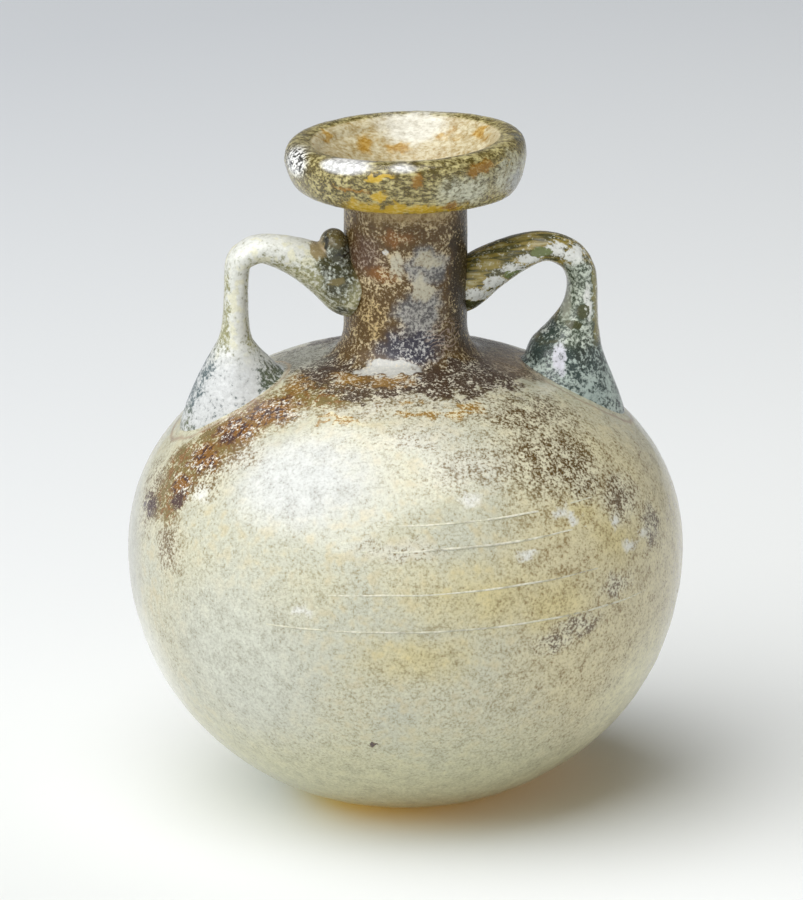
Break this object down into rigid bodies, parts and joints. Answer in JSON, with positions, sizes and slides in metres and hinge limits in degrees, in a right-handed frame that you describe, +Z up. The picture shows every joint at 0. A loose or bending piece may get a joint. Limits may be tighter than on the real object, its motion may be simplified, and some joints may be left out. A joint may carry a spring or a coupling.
{
  "type": "glass perfume flask",
  "caption": "Squat round blown-glass oil or perfume flask with a short neck, a wide folded collar and handles trailed from shoulder to neck.",
  "frame": {"origin": "middle of the standing ring, on the surface that the flask stands on", "axes": "+Z up along the flask's axis, +X to the right-hand handle's side, -Y to the front"},
  "size_m": [0.066, 0.066, 0.0806],
  "materials": {
    "weathered_glass": "clear amber glass under a cream and brown weathering crust, see-through at the rim",
    "handle_glass": "olive-green glass under a chalky white crust"
  },
  "bodies": {
    "root": {"vessel": "weathered_glass", "handle_right": "handle_glass", "handle_left": "handle_glass"}
  },
  "joints": []
}
